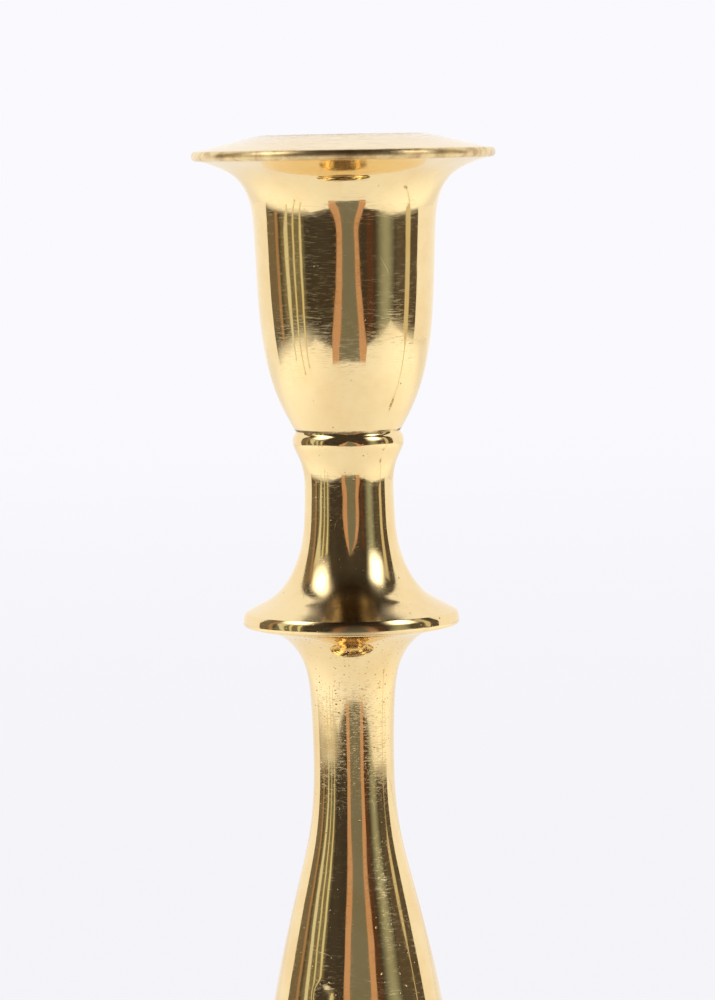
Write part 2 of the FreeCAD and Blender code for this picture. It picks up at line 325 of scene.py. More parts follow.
# A wooden easel close in front, with a grey board between its legs. The legs lean together at the top
# and run out to the table's front edge below. Rows are height, distance, left and right azimuth.
easel_wood = (0.60, 0.36, 0.24)
board_grey = (0.20, 0.20, 0.175)
board_behind = 0.003
easel_left = [(0.001, 0.520, -20.0, -10.3), (0.063, 0.298, -20.0, -10.2), (0.126, 0.155, -20.0, -10.2),
              (0.144, 0.155, -19.8, -9.1), (0.160, 0.155, -19.0, -6.0), (0.178, 0.155, -14.9, -4.3),
              (0.197, 0.155, -10.5, -3.0), (0.214, 0.155, -6.0, -1.8), (0.230, 0.155, -1.5, -0.4)]
easel_right = [(0.001, 0.520, 17.9, 27.2), (0.063, 0.298, 17.8, 27.4), (0.126, 0.155, 17.7, 27.5),
               (0.144, 0.155, 16.7, 28.1), (0.160, 0.155, 15.6, 25.0), (0.178, 0.155, 13.2, 21.2),
               (0.197, 0.155, 10.7, 17.0), (0.214, 0.155, 5.5, 9.2), (0.230, 0.155, 0.4, 1.5)]
board = [(left[0], left[1] + board_behind, (left[2] + left[3]) / 2, (right[2] + right[3]) / 2)
         for left, right in zip(easel_left, easel_right)]
studio_card("easel_leg_left", column(easel_left), easel_wood, soft=(0.12, 0.0), cells=(8, 64))
studio_card("easel_leg_right", column(easel_right), easel_wood, soft=(0.12, 0.0), cells=(8, 64))
studio_card("easel_board", column(board), board_grey, soft=(0.06, 0.0), cells=(8, 64))

# Candle socket. A tulip-shaped cup with a wide drip flange, cast in brass, turned and polished all over,
# and bored for a household candle. It screws onto the neck's stud and closes on the collar.

metal_turns = 240
merge_distance = 1e-7
near_axis = 1e-5
sharp_ring_angle = 0.45
wander_fineness = 90
bore_radius = 0.01125
bore_depth = 0.034
bore_corner = 0.0025
floor_ledge = 0.00255
mouth_chamfer = 0.0006
mouth_land = 0.00205
cup_wall = 0.00325
rim_edge = 0.0016
rim_fall = 0.0024
socket_web = 0.0024
recess_depth = 0.0022
stud_hole_radius = 0.00505
guide_radius = 0.00195
collar_radius = 0.00893
groove = 0.00038
worn_reach = 0.0014
worn_margin = 0.0016

brass_colour = (0.94, 0.732, 0.392, 1)
brass_deep = (0.88, 0.63, 0.29, 1)
tarnish_colour = (0.36, 0.20, 0.09, 1)
# The colour of dirt in joints and pinholes, also used for the painted dark reflection on the drip disc.
dirt_and_painted_reflection_colour = (0.085, 0.050, 0.026, 1)
dust_colour = (0.95, 0.86, 0.66, 1)


def flowing(points, steps=14):
    """A smooth curve through all the points, each span cut into the given number of steps."""
    places = np.array(points, dtype=float)
    spans = np.linalg.norm(np.diff(places, axis=0), axis=1)
    count = len(places)
    matrix, sides = np.eye(count), np.zeros((count, 2))
    for i in range(1, count - 1):
        matrix[i, i - 1:i + 2] = spans[i - 1], 2 * (spans[i - 1] + spans[i]), spans[i]
        rise = (places[i + 1] - places[i]) / spans[i] - (places[i] - places[i - 1]) / spans[i - 1]
        sides[i] = 6 * rise
    bends = np.linalg.solve(matrix, sides)
    curve = [places[0]]
    for i, span in enumerate(spans):
        for share in (np.arange(steps) + 1) / steps:
            ahead, behind = share * span, (1 - share) * span
            pull = (bends[i] * behind ** 3 + bends[i + 1] * ahead ** 3) / (6 * span)
            start = (places[i] / span - bends[i] * span / 6) * behind
            end = (places[i + 1] / span - bends[i + 1] * span / 6) * ahead
            curve.append(pull + start + end)
    return [tuple(point) for point in curve]


def half_round(start, middle, end, steps=10):
    """The arc from start to end through middle, as the points of a chain of steps."""
    a, b, c = Vector(start), Vector(middle), Vector(end)
    ax, ay, bx, by = b.x - a.x, b.y - a.y, c.x - a.x, c.y - a.y
    cross = 2 * (ax * by - ay * bx)
    ux = (by * (ax * ax + ay * ay) - ay * (bx * bx + by * by)) / cross
    uy = (ax * (bx * bx + by * by) - bx * (ax * ax + ay * ay)) / cross
    centre = Vector((a.x + ux, a.y + uy))
    spoke = a - centre
    full = spoke.angle_signed(b - centre) + (b - centre).angle_signed(c - centre)
    made = []
    for i in range(steps + 1):
        point = spoke.copy()
        point.rotate(Matrix.Rotation(-full * i / steps, 2))
        made.append(tuple(centre + point))
    return made


def sharp_edges(bm, angle):
    """The edges at which two faces meet at more than the angle, in radians."""
    return [edge for edge in bm.edges if len(edge.link_faces) == 2 and edge.calc_face_angle() > angle]


def turned(name, outline, edge_round=0.00012, wander=0.000012, turns=metal_turns):
    """Spins a closed outline of (radius, height) points about the axis, softens its sharp rings, and
    gives it the slight unevenness of metal polished by hand."""
    bm = bmesh.new()
    ring = [bm.verts.new((radius, 0, height)) for radius, height in outline]
    edges = [bm.edges.new((a, b)) for a, b in zip(ring, ring[1:] + ring[:1])]
    bmesh.ops.spin(bm, geom=ring + edges, cent=(0, 0, 0), axis=(0, 0, 1), angle=2 * math.pi,
                   steps=turns, use_merge=True)
    bmesh.ops.remove_doubles(bm, verts=bm.verts, dist=merge_distance)
    bmesh.ops.dissolve_degenerate(bm, dist=merge_distance, edges=bm.edges)
    bmesh.ops.recalc_face_normals(bm, faces=bm.faces)
    sharp = sharp_edges(bm, sharp_ring_angle)
    bmesh.ops.bevel(bm, geom=sharp, offset=edge_round, segments=3, profile=0.5, affect="EDGES",
                    material=-1, clamp_overlap=True)
    for vert in bm.verts:
        outward = Vector((vert.co.x, vert.co.y, 0))
        if outward.length > near_axis:
            vert.co += outward.normalized() * wander * noise.noise(vert.co * wander_fineness)
    mesh = bpy.data.meshes.new(name)
    bm.to_mesh(mesh)
    bm.free()
    mesh.shade_smooth()
    piece = bpy.data.objects.new(name, mesh)
    bpy.context.collection.objects.link(piece)
    return piece


def new_group(name, inputs, outputs):
    """A shader node group with the named inputs, at their defaults, and outputs, and its input sockets."""
    group = bpy.data.node_groups.new(name, "ShaderNodeTree")
    for label, default in inputs.items():
        socket = group.interface.new_socket(label, in_out="INPUT", socket_type="NodeSocketFloat")
        socket.default_value = default
    for label in outputs:
        group.interface.new_socket(label, in_out="OUTPUT", socket_type="NodeSocketFloat")
    return group, node(group, "NodeGroupInput").outputs


def flat_place(tree, split):
    """A point's place across the axis, with its height left out."""
    return node(tree, "ShaderNodeCombineXYZ", {"X": split["X"], "Y": split["Y"]}).outputs[0]


# Turning marks: fine lines that run round the piece, left by the lathe and the polishing wheel.
marks_group, given = new_group("turning_marks", {"Fineness": 5200.0, "Around": 3.0}, ["Fine", "Broad"])
split = node(marks_group, "ShaderNodeSeparateXYZ", {0: object_place(marks_group)}).outputs
flat = flat_place(marks_group, split)
reach = node(marks_group, "ShaderNodeVectorMath", {0: flat}, operation="LENGTH").outputs["Value"]
facing = node(marks_group, "ShaderNodeVectorMath", {0: flat}, operation="NORMALIZE").outputs[0]
spread = node(marks_group, "ShaderNodeVectorMath", {0: facing, "Scale": given["Around"]}, operation="SCALE")
rise = maths(marks_group, "MULTIPLY", split["Z"], given["Fineness"])
lift = node(marks_group, "ShaderNodeCombineXYZ", {"Z": rise})
wound = node(marks_group, "ShaderNodeVectorMath", {0: spread.outputs[0], 1: lift.outputs[0]}, operation="ADD")
along = {"Vector": wound.outputs[0], "W": maths(marks_group, "MULTIPLY", reach, given["Fineness"])}
fine = node(marks_group, "ShaderNodeTexNoise", {**along, "Scale": 1.0, "Detail": 2.0, "Roughness": 0.6},
            noise_dimensions="4D")
broad = node(marks_group, "ShaderNodeTexNoise", {**along, "Scale": 0.16, "Detail": 1.0},
             noise_dimensions="4D")
node(marks_group, "NodeGroupOutput", {"Fine": fine.outputs["Fac"], "Broad": broad.outputs["Fac"]})

# Scattered spots: pinholes and dust. Amount is the share of cells that have one, Cells the cells per
# metre, Size how far a spot's edge may reach past the smallest spot's, as a share of a cell, and Stretch
# flattens the spots. Each is full at its core and fades out to its edge.
smallest_spot = 0.06
spot_core = 0.02
spots_group, given = new_group("scattered_spots", {"Amount": 0.1, "Cells": 900.0, "Size": 0.15,
                                                   "Stretch": 1.0}, ["Mask"])
split = node(spots_group, "ShaderNodeSeparateXYZ", {0: object_place(spots_group)}).outputs
squeezed = maths(spots_group, "MULTIPLY", split["Z"], given["Stretch"])
place = node(spots_group, "ShaderNodeCombineXYZ", {"X": split["X"], "Y": split["Y"], "Z": squeezed})
cells = node(spots_group, "ShaderNodeTexVoronoi", {"Vector": place.outputs[0], "Scale": given["Cells"]})
draw = node(spots_group, "ShaderNodeSeparateColor", {0: cells.outputs["Color"]}).outputs
present = maths(spots_group, "LESS_THAN", draw[0], given["Amount"])
span = maths(spots_group, "MULTIPLY_ADD", draw[1], given["Size"], smallest_spot)
core = scaled(spots_group, cells.outputs["Distance"], span, spot_core)
node(spots_group, "NodeGroupOutput", {"Mask": maths(spots_group, "MULTIPLY", core, present)})

# Hairlines: long thin scratches that wander over the piece in a few patches. A scratch lies where a slow
# noise passes one level.
scratch_level = 0.47
hairline_group, given = new_group("hairlines", {"Scale": 75.0, "Width": 0.0022}, ["Mask"])
place = object_place(hairline_group)
drift = clouds(hairline_group, place, given["Scale"], 0.0, Distortion=0.6)
offset = maths(hairline_group, "ABSOLUTE", maths(hairline_group, "SUBTRACT", drift, scratch_level))
line = scaled(hairline_group, offset, given["Width"], 0.0)
patch = scaled(hairline_group, clouds(hairline_group, place, 210.0, 1.0), 0.57, 0.66)
node(hairline_group, "NodeGroupOutput", {"Mask": maths(hairline_group, "MULTIPLY", line, patch)})

# Ring zone: 1 on the ring at one height and radius of the piece, and 0 beyond Reach above and below it
# and beyond Margin inside and outside it.
ring_group, given = new_group("ring_zone", {"Level": 0.0, "Reach": 0.001, "Radius": 0.01, "Margin": 0.001},
                              ["Mask"])
split = node(ring_group, "ShaderNodeSeparateXYZ", {0: object_place(ring_group)}).outputs
flat = flat_place(ring_group, split)
reach = node(ring_group, "ShaderNodeVectorMath", {0: flat}, operation="LENGTH").outputs["Value"]
masks = []
for value, target, limit in [(split["Z"], "Level", "Reach"), (reach, "Radius", "Margin")]:
    away = maths(ring_group, "ABSOLUTE", maths(ring_group, "SUBTRACT", value, given[target]))
    masks.append(scaled(ring_group, away, given[limit], 0.0, curve="SMOOTHSTEP"))
mask = maths(ring_group, "MULTIPLY", maths(ring_group, "MULTIPLY", *masks), 2.0, clamp=True)
node(ring_group, "NodeGroupOutput", {"Mask": mask})

# Tarnish: cloudy patches. More of the surface is in them with more Amount.
tarnish_group, given = new_group("tarnish", {"Scale": 260.0, "Amount": 0.5}, ["Mask"])
cloud = clouds(tarnish_group, object_place(tarnish_group), given["Scale"], 4.0, Roughness=0.62)
least = maths(tarnish_group, "SUBTRACT", 0.78, given["Amount"])
node(tarnish_group, "NodeGroupOutput", {"Mask": scaled(tarnish_group, cloud, least, 0.8)})


def placed(tree, group, **inputs):
    """The outputs of a shared effect that is placed in a material with its own values."""
    return node(tree, "ShaderNodeGroup", inputs, node_tree=group).outputs


def ring_mask(tree, level, reach, radius, margin):
    return placed(tree, ring_group, Level=level, Reach=reach, Radius=radius, Margin=margin)[0]


def times(tree, a, b):
    return maths(tree, "MULTIPLY", a, b, clamp=True)


def blend_value(tree, mask, under, over):
    return node(tree, "ShaderNodeMix", {0: mask, 2: under, 3: over}).outputs[0]


def new_metal(name):
    """A new metal material, its node tree and its shader."""
    material = bpy.data.materials.new(name)
    material.use_nodes = True
    shader = material.node_tree.nodes["Principled BSDF"]
    shader.inputs["Metallic"].default_value = 1.0
    return material, material.node_tree, shader


def surface(tree, shader, colour, roughness, relief):
    """Gives a metal its colour, its roughness and its relief, which is (mask, height in metres) pairs."""
    height = 0.0
    for mask, depth in relief:
        height = maths(tree, "MULTIPLY_ADD", mask, depth, height)
    uneven = node(tree, "ShaderNodeBump", {"Height": height, "Strength": 1.0, "Distance": 1.0})
    tree.links.new(colour, shader.inputs["Base Color"])
    tree.links.new(roughness, shader.inputs["Roughness"])
    tree.links.new(uneven.outputs[0], shader.inputs["Normal"])


polish_roughness = (0.025, 0.055)
stroke_roughness = 0.30
worn_roughness = 0.34
dusty_roughness = 0.17
speck_roughness = 0.7
# How rough the painted dark reflection on the drip disc is.
painted_reflection_roughness = 0.26
scratch_roughness = 0.42
grime_roughness = 0.55
joint_margin = 0.0009
polish_anisotropy = 0.9
polish_turn = 0.25
pits_in_zone = 0.75
dust_in_zone = 0.35
spot_strength = 0.8
# How dark the painted dark reflection gets, and the share of its reach from its centre that is fully dark.
painted_reflection_strength = 0.86
painted_reflection_core = 0.60
wave_height = 0.00009
dimple_height = 0.000016
mark_height = 0.0000016
hole_depth = 0.00004


def polished_brass(name, joints, streaks=0.68, pits=0.03, dust=0.05, pitted=None, dusty=None, painted_dark_reflection=None,
                   worn_edge=None):
    """Polished brass with the streaks of the polishing wheel, pinholes, dust and dirt in its joints, and
    a painted dark reflection where one is given. joints are (height, radius, reach), the painted dark
    reflection is (place, reach), and the others that may be given are (height, reach, radius, margin)."""
    material, tree, shader = new_metal(name)
    place = object_place(tree)
    marks = placed(tree, marks_group)
    strokes = placed(tree, marks_group, Fineness=8200.0, Around=9.0)["Fine"]
    rubbed = scaled(tree, clouds(tree, place, 110.0, 2.0), 0.30, 0.60, 0.60)
    stroke = times(tree, scaled(tree, strokes, 0.49, 0.66, 0.0, streaks), rubbed)
    roughness = scaled(tree, marks["Broad"], 0.35, 0.65, *polish_roughness)
    roughness = blend_value(tree, stroke, roughness, stroke_roughness)
    cloud = placed(tree, tarnish_group, Scale=120.0, Amount=0.36)[0]
    colour = blend_colour(tree, cloud, brass_colour, brass_deep)

    if worn_edge:
        edge = ring_mask(tree, *worn_edge)
        brown = placed(tree, tarnish_group, Scale=360.0, Amount=0.36)[0]
        roughness = blend_value(tree, edge, roughness, worn_roughness)
        colour = blend_colour(tree, times(tree, edge, brown), colour, tarnish_colour)
    if pitted:
        pits = maths(tree, "MULTIPLY_ADD", ring_mask(tree, *pitted), pits_in_zone, pits)
    hole = placed(tree, spots_group, Amount=pits, Cells=1300.0, Size=0.26, Stretch=1.4)[0]
    if dusty:
        zone = ring_mask(tree, *dusty)
        roughness = blend_value(tree, times(tree, zone, 0.5), roughness, dusty_roughness)
        dust = maths(tree, "MULTIPLY_ADD", zone, dust_in_zone, dust)
    speck = placed(tree, spots_group, Amount=dust, Cells=1650.0, Size=0.19)[0]
    colour = blend_colour(tree, times(tree, hole, spot_strength), colour, tarnish_colour)
    colour = blend_colour(tree, times(tree, speck, spot_strength), colour, dust_colour)
    roughness = blend_value(tree, speck, roughness, speck_roughness)

    # A painted dark reflection: where a place and reach are given, the brass there is painted dark and made
    # duller, standing in for the dim room mirrored at the front of the drip disc.
    if painted_dark_reflection:
        centre, reach = painted_dark_reflection
        away = node(tree, "ShaderNodeVectorMath", {0: place, 1: centre}, operation="DISTANCE")
        dull = scaled(tree, away.outputs["Value"], reach, reach * painted_reflection_core)
        colour = blend_colour(tree, times(tree, dull, painted_reflection_strength), colour, dirt_and_painted_reflection_colour)
        roughness = blend_value(tree, dull, roughness, painted_reflection_roughness)
    scratch = placed(tree, hairline_group)[0]
    roughness = blend_value(tree, times(tree, scratch, 0.8), roughness, scratch_roughness)
    grime = scaled(tree, clouds(tree, place, 420.0, 2.0), 0.30, 0.60)
    for level, radius, reach in joints:
        dirt = times(tree, times(tree, grime, ring_mask(tree, level, reach, radius, joint_margin)), 0.8)
        colour = blend_colour(tree, dirt, colour, dirt_and_painted_reflection_colour)
        roughness = blend_value(tree, dirt, roughness, grime_roughness)

    shader.inputs["Anisotropic"].default_value = polish_anisotropy
    shader.inputs["Anisotropic Rotation"].default_value = polish_turn
    round_axis = node(tree, "ShaderNodeTangent", direction_type="RADIAL", axis="Z")
    tree.links.new(round_axis.outputs[0], shader.inputs["Tangent"])
    # The slow waves that hand polishing leaves, smaller dimples, the turning marks and the pinholes.
    surface(tree, shader, colour, roughness,
            [(clouds(tree, place, 70.0, 0.0), wave_height), (clouds(tree, place, 260.0, 1.0), dimple_height),
             (marks["Fine"], mark_height), (hole, -hole_depth)])
    return material


socket_low, socket_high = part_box("candle_socket")
seat = socket_low.z
tall = socket_high.z - seat
rim_radius = socket_high.x
cup_radius = bore_radius + cup_wall
groove_radius = collar_radius - groove
bore_floor = socket_high.z - bore_depth
recess_floor = bore_floor - recess_depth
recess_radius = bore_radius - floor_ledge
rim_start = rim_radius - rim_edge / 2
rim_top = socket_high.z - rim_fall

outline = [(bore_radius + mouth_chamfer, socket_high.z), (bore_radius + mouth_land, socket_high.z)]
outline += half_round((rim_start, rim_top), (rim_radius, rim_top - rim_edge / 2),
                      (rim_start, rim_top - rim_edge))
# The outside from the rim down, as shares of the way out from the cup or the groove and of the height.
flare = [(0.63, 0.896), (0.284, 0.857), (0.062, 0.777), (0.0, 0.674)]
cup = [(0.953, 0.532), (0.874, 0.370), (0.723, 0.234), (0.487, 0.128), (0.227, 0.053), (0.0, 0.0)]
body = [(rim_start, rim_top - rim_edge)]
body += [(between(cup_radius, rim_radius, share), seat + tall * up) for share, up in flare]
body += [(between(groove_radius, cup_radius, share), seat + tall * up) for share, up in cup]
outline += flowing(body)[1:]
outline += [(stud_hole_radius, seat), (stud_hole_radius, recess_floor - socket_web),
            (guide_radius, recess_floor - socket_web), (guide_radius, recess_floor),
            (recess_radius, recess_floor), (recess_radius, bore_floor)]
bend = bore_corner * math.sqrt(0.5)
outline += half_round((bore_radius - bore_corner, bore_floor),
                      (bore_radius - bore_corner + bend, bore_floor + bore_corner - bend),
                      (bore_radius, bore_floor + bore_corner), steps=6)
outline += [(bore_radius, socket_high.z - mouth_chamfer)]
socket = turned("polished_candle_socket", outline)
rim_middle = rim_top - rim_edge / 2
socket.data.materials.append(polished_brass("socket_brass", pits=0.012, dust=0.03,
                                            joints=[(seat, groove_radius, 0.00030)],
                                            worn_edge=(rim_middle, worn_reach, rim_radius, worn_margin)))
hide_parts("candle_socket")
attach(socket, "root")

# Neck and drip disc. One brass casting, turned and polished: the collar under the cup, the waisted neck
# and the disc that catches wax. A stud screws up into the socket and a spigot down into the stem.

neck_radius = 0.00718
collar_height = 0.0052
disc_edge = 0.00215
disc_edge_top_inset = 0.0004
disc_edge_low_inset = 0.00042
groove_step = 0.00012
stud_radius = 0.005
spigot_radius = 0.004
passage_radius = 0.0023
spigot_length = 0.010
stem_flare_inset = 0.00145
dusty_level, dusty_reach = 0.006, 0.010
dusty_radius, dusty_margin = 0.012, 0.009
# The painted dark reflection on the neck's brass: how far in front of the axis, towards the camera, and how
# high above the disc's bottom it is centred, and how far it reaches.
painted_reflection_forward, painted_reflection_level, painted_reflection_reach = 0.0140, 0.0048, 0.0074

neck_low, neck_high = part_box("neck_and_drip_disc")
disc_radius = neck_high.x
stem_flare = disc_radius - stem_flare_inset
disc_low = neck_low.z + spigot_length
tall = seat - disc_low
body = [(groove_radius - groove_step, seat)]
body += [(between(neck_radius, collar_radius, share), seat - collar_height * down)
         for share, down in [(0.706, 0.06), (0.75, 0.106), (0.846, 0.154), (0.96, 0.25), (1.0, 0.365),
                             (0.73, 0.65), (0.28, 1.0)]]
body += [(between(neck_radius, disc_radius, share), disc_low + tall * up)
         for share, up in [(0.0, 0.636), (0.022, 0.498), (0.110, 0.355), (0.272, 0.240), (0.513, 0.150),
                           (0.789, 0.099)]]
body += [(disc_radius - disc_edge_top_inset, disc_low + disc_edge)]
outline = flowing(body)
edge_shape = [(disc_edge_top_inset, 1.0), (0.00012, 0.74), (0.00001, 0.44), (0.00003, 0.16), (0.00016, 0.04),
              (disc_edge_low_inset, 0.0)]
outline += flowing([(disc_radius - inward, disc_low + disc_edge * up) for inward, up in edge_shape],
                   steps=6)[1:]
outline += [(spigot_radius, disc_low), (spigot_radius, neck_low.z), (passage_radius, neck_low.z),
            (passage_radius, neck_high.z), (stud_radius, neck_high.z), (stud_radius, seat)]
neck = turned("polished_neck_and_disc", outline)
# The neck's brass has a painted dark reflection on the front of its drip disc.
neck.data.materials.append(polished_brass("neck_brass", pits=0.03, dust=0.14,
                                          dusty=(disc_low + dusty_level, dusty_reach, dusty_radius,
                                                 dusty_margin),
                                          painted_dark_reflection=((0.0, -painted_reflection_forward, disc_low + painted_reflection_level), painted_reflection_reach),
                                          joints=[(seat, groove_radius, 0.00028),
                                                  (disc_low, stem_flare, 0.00025)]))
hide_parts("neck_and_drip_disc")
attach(neck, "root")

# Pear-shaped stem. A hollow brass casting, turned and polished outside, that flares out under the drip
# disc and stands on the foot with a small ring. Its tail goes through the foot and takes the nut.

stem_waist = 0.0065
waist_share = 0.823
belly_share = 0.243
stem_ankle = 0.0089
stem_ring = 0.0118
stem_ring_bulge = 0.001
stem_ring_height = 0.0036
stem_flare_lip = 0.0003
stem_wall = 0.003
cavity_floor = 0.0115
cavity_corner = 0.002
tail_radius = 0.006
tail_chamfer = 0.0006
spigot_hole = 0.00405
end_gap = 0.0002
pitted_below, pitted_reach, pitted_margin = 0.006, 0.020, 0.03
dent_reach = 0.0027
dent_depth = 0.00042
dent_place = Vector((-0.0054, -0.0126, 0.0928))


def inset(points, wall):
    """Moves a curve's points inwards by the wall, square to the curve. The points run downwards."""
    moved = []
    for i, (radius, height) in enumerate(points):
        before, after = points[max(i - 1, 0)], points[min(i + 1, len(points) - 1)]
        run, fall = after[0] - before[0], before[1] - after[1]
        length = math.hypot(run, fall)
        moved.append((radius - wall * fall / length, height - wall * run / length))
    return moved


stem_low, stem_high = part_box("baluster_stem")
foot_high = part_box("foot")[1]
stem_belly = stem_high.x
stem_seat = foot_high.z
tall = stem_high.z - stem_seat
waist_level = stem_seat + tall * waist_share
belly_level = stem_seat + tall * belly_share
ankle_level = stem_seat + stem_ring_height
body = [(between(stem_waist, stem_flare, share), stem_high.z - drop)
        for share, drop in [(0.67, 0.0009), (0.35, 0.0029), (0.133, 0.0062), (0.03, 0.0117)]]
body += [(stem_waist, waist_level)]
body += [(between(stem_waist, stem_belly, share), between(waist_level, belly_level, down))
         for share, down in [(0.013, 0.116), (0.101, 0.225), (0.294, 0.347), (0.492, 0.468), (0.669, 0.589),
                             (0.839, 0.729), (0.960, 0.868)]]
body += [(stem_belly, belly_level)]
body += [(between(stem_ankle, stem_belly, share), between(belly_level, ankle_level, down))
         for share, down in [(0.97, 0.21), (0.85, 0.43), (0.57, 0.65), (0.25, 0.82), (0.06, 0.93)]]
body += [(stem_ankle, ankle_level)]
cavity = [point for point in inset(body[4:], stem_wall)
          if point[1] > stem_seat + cavity_floor + cavity_corner]
outline = [(stem_flare, stem_high.z)]
outline += flowing([(stem_flare, stem_high.z - stem_flare_lip)] + body)
outline += half_round((stem_ring - stem_ring_bulge, ankle_level),
                      (stem_ring, stem_seat + stem_ring_height / 2),
                      (stem_ring - stem_ring_bulge, stem_seat))
outline += [(tail_radius, stem_seat), (tail_radius, stem_low.z + tail_chamfer),
            (tail_radius - tail_chamfer, stem_low.z), (guide_radius, stem_low.z),
            (guide_radius, stem_seat + cavity_floor)]
outline += flowing([(cavity[-1][0] - cavity_corner, stem_seat + cavity_floor)] + cavity[::-1], steps=6)
spigot_bottom = neck_low.z - end_gap
outline += [(cavity[0][0], spigot_bottom), (spigot_hole, spigot_bottom), (spigot_hole, stem_high.z)]
stem = turned("polished_baluster_stem", outline)
for vert in stem.data.vertices:
    near = max(0.0, 1 - (vert.co - dent_place).length / dent_reach)
    outward = Vector((vert.co.x, vert.co.y, 0)).normalized()
    vert.co -= outward * dent_depth * near * near * (3 - 2 * near)
stem.data.materials.append(polished_brass("stem_brass", streaks=0.85, pits=0.02, dust=0.25,
                                          pitted=(stem_high.z - pitted_below, pitted_reach, 0.0,
                                                  pitted_margin),
                                          joints=[(ankle_level, stem_ankle, 0.0004),
                                                  (stem_seat, stem_ring, 0.00035)]))
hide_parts("baluster_stem")
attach(stem, "root")

# Foot. A hollow brass casting, turned and polished outside: a bead under the stem, a hollow moulding, a
# step, a rounded moulding and a plinth with a rounded edge. Its underside is left as it was cast.

foot_bead = 0.0022
foot_bead_bulge = 0.0008
foot_top_radius = 0.0134
foot_wall = 0.003
boss_thickness = 0.0045
step_height = 0.0018
step_width = 0.0014
dome_height = 0.0078
dome_width = 0.0134
plinth_height = 0.0074
plinth_flat = 0.0054
plinth_bulge = 0.0038
tread = 0.0028
tail_hole = 0.00605
scotia_steps = 30
dome_steps = 20
boss_margin = 0.001
cast_above = 0.0002
turned_inwards = -0.1


def quarter_turn(steps):
    """The angles that cut a quarter of a turn into equal steps."""
    return [math.radians(90 / steps * i) for i in range(steps + 1)]


foot_radius = foot_high.x
edge_start = foot_radius - plinth_bulge
dome_radius = edge_start - plinth_flat
dome_start = dome_radius - dome_width
dome_top = plinth_height + dome_height
scotia_radius = dome_start - step_width
scotia_level = dome_top + step_height
boss_underside = foot_high.z - boss_thickness
scotia = [(between(scotia_radius, foot_top_radius, math.cos(turn)),
           between(foot_high.z - foot_bead, scotia_level, math.sin(turn)))
          for turn in quarter_turn(scotia_steps)]
dome = [(between(dome_start, dome_radius, math.sin(turn)), between(plinth_height, dome_top, math.cos(turn)))
        for turn in quarter_turn(dome_steps)]
outline = [(tail_hole, foot_high.z)]
outline += half_round((foot_top_radius, foot_high.z),
                      (foot_top_radius + foot_bead_bulge, foot_high.z - foot_bead / 2),
                      (foot_top_radius, foot_high.z - foot_bead))
outline += scotia[1:] + [(scotia_radius, dome_top)] + dome + [(edge_start, plinth_height)]
outline += half_round((edge_start, plinth_height), (foot_radius, plinth_height / 2), (edge_start, 0),
                      steps=16)[1:]
under_dome = inset(dome, foot_wall)
under_scotia = [point for point in inset(scotia, foot_wall) if point[1] < boss_underside - boss_margin]
outline += [(edge_start - tread, 0), (edge_start - tread, plinth_height - foot_wall),
            (under_dome[-1][0], plinth_height - foot_wall)]
outline += under_dome[::-1] + under_scotia[::-1]
outline += [(under_scotia[0][0], boss_underside), (tail_hole, boss_underside)]
foot = turned("polished_foot", outline)
foot.data.materials.append(polished_brass("foot_brass", pits=0.03, dust=0.06,
                                          joints=[(stem_seat, stem_ring, 0.0003),
                                                  (foot_high.z - foot_bead, foot_top_radius, 0.0004),
                                                  (dome_top, dome_start, 0.0004),
                                                  (plinth_height, dome_radius, 0.0004)]))

# The inside of the foot is left as it came from the sand mould.
cast_pale = (0.50, 0.345, 0.165, 1)
cast_dark = (0.17, 0.105, 0.050, 1)
cast_material, tree, shader = new_metal("cast_brass")
place = object_place(tree)
stains = placed(tree, tarnish_group, Scale=95.0, Amount=0.50)[0]
sand = clouds(tree, place, 900.0, 3.0, Roughness=0.7)
holes = placed(tree, spots_group, Amount=0.2, Cells=420.0, Size=0.2)[0]
surface(tree, shader, blend_colour(tree, stains, cast_pale, cast_dark),
        scaled(tree, sand, 0.3, 0.7, 0.42, 0.68),
        [(sand, 0.00011), (clouds(tree, place, 160.0, 1.0), 0.0004), (holes, -0.0002)])
foot.data.materials.append(cast_material)
for face in foot.data.polygons:
    outward = Vector((face.center.x, face.center.y, 0))
    looks_in = min(face.normal.z, face.normal.dot(outward.normalized())) < turned_inwards
    if looks_in and outward.length < edge_start and face.center.z < boss_underside + cast_above:
        face.material_index = 1
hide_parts("foot")
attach(foot, "root")

# Foot washer. A turned brass ring between the foot's boss and the nut, left dull. It spreads the nut's
# pull over the rough casting.

small_turns = 96
washer_edge = 0.0002
dull_pale = (0.56, 0.40, 0.19, 1)
dull_brown = (0.25, 0.155, 0.070, 1)


def dull_brass(name, pits=0.08):
    """Turned brass that was never polished and has gone brown in places."""
    material, tree, shader = new_metal(name)
    marks = placed(tree, marks_group, Fineness=3600.0, Around=2.0)["Fine"]
    stains = placed(tree, tarnish_group, Scale=190.0, Amount=0.46)[0]
    hole = placed(tree, spots_group, Amount=pits, Cells=900.0, Size=0.18)[0]
    colour = blend_colour(tree, stains, dull_pale, dull_brown)
    colour = blend_colour(tree, times(tree, hole, 0.8), colour, dirt_and_painted_reflection_colour)
    roughness = blend_value(tree, stains, scaled(tree, marks, 0.3, 0.7, 0.26, 0.46), 0.55)
    surface(tree, shader, colour, roughness, [(marks, 0.000009), (hole, -0.00006)])
    return material


washer_low, washer_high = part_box("foot_washer")
washer = turned("dull_foot_washer", [(tail_hole, washer_low.z), (washer_high.x, washer_low.z),
                                     (washer_high.x, washer_high.z), (tail_hole, washer_high.z)],
                edge_round=washer_edge, turns=small_turns)
washer.data.materials.append(dull_brass("washer_brass"))
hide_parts("foot_washer")
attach(washer, "root")

# Nut on the stem's tail. A hexagonal brass nut, its lower corners turned back to a chamfer, that draws
# the foot up against the stem's ring.

nut_sides = 6
nut_flat = 0.0075
nut_chamfer = 0.0008
nut_edge = 0.00015
nut_sharp_angle = 0.6
nut_crease_angle = 0.5

